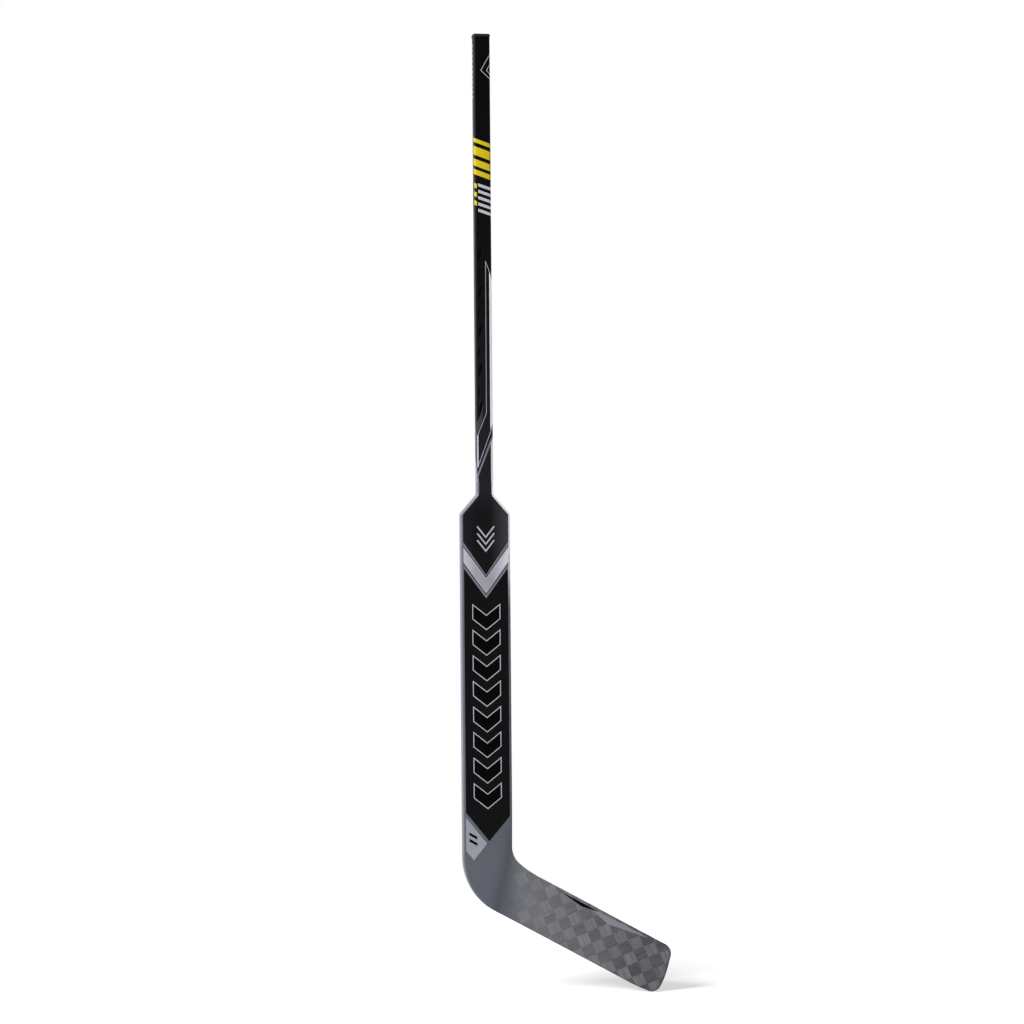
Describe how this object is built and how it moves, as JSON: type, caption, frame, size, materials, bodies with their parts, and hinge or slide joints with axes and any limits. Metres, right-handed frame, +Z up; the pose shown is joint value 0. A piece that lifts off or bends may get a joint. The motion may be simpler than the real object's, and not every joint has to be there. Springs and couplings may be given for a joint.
{
  "type": "hockey goalie stick",
  "caption": "Ice hockey goalie stick: hollow rectangular shaft with an end cap, widened foam-core paddle, and a curved composite blade angled down from the heel.",
  "frame": {"origin": "on the shaft's axis, where the shaft meets the paddle's neck and the blocker hand holds it", "axes": "+Z up the shaft to the butt end, +X from the heel towards the toe, -Y out of the front (forehand) face"},
  "size_m": [0.3635, 0.0479, 1.6748],
  "materials": {
    "cap_plastic": "moulded satin",
    "shaft_lacquer": "black satin lacquer",
    "grey_paint": "satin grey paint over laminate",
    "carbon_laminate": "bare laminate",
    "woven_carbon": "clear-coated spread-tow weave",
    "core_foam": "closed-cell foam",
    "block_wood": "sawn",
    "black_film": "satin film",
    "silver_film": "silver film"
  },
  "bodies": {
    "root": {"butt_cap": "cap_plastic", "shaft_tube": "shaft_lacquer", "neck_spigot": "carbon_laminate", "paddle_heel_rail": "grey_paint", "paddle_toe_rail": "grey_paint", "paddle_front_skin": "grey_paint", "paddle_back_skin": "grey_paint", "paddle_heel_rib": "carbon_laminate", "paddle_toe_rib": "carbon_laminate", "paddle_heel_core": "core_foam", "paddle_centre_core": "core_foam", "paddle_toe_core": "core_foam", "heel_block": "block_wood", "heel_tenon": "carbon_laminate", "blade_rim": "woven_carbon", "blade_front_skin": "woven_carbon", "blade_back_skin": "woven_carbon", "blade_rib": "carbon_laminate", "blade_upper_core": "core_foam", "blade_lower_core": "core_foam", "front_crest_decal": "black_film", "front_chevron_decal": "silver_film", "front_panel_decal": "black_film", "heel_kite_decal": "silver_film", "back_crest_decal": "black_film", "back_chevron_decal": "silver_film", "back_panel_decal": "black_film", "blade_dark_flash": "black_film", "blade_pale_flash": "silver_film"}
  },
  "joints": []
}
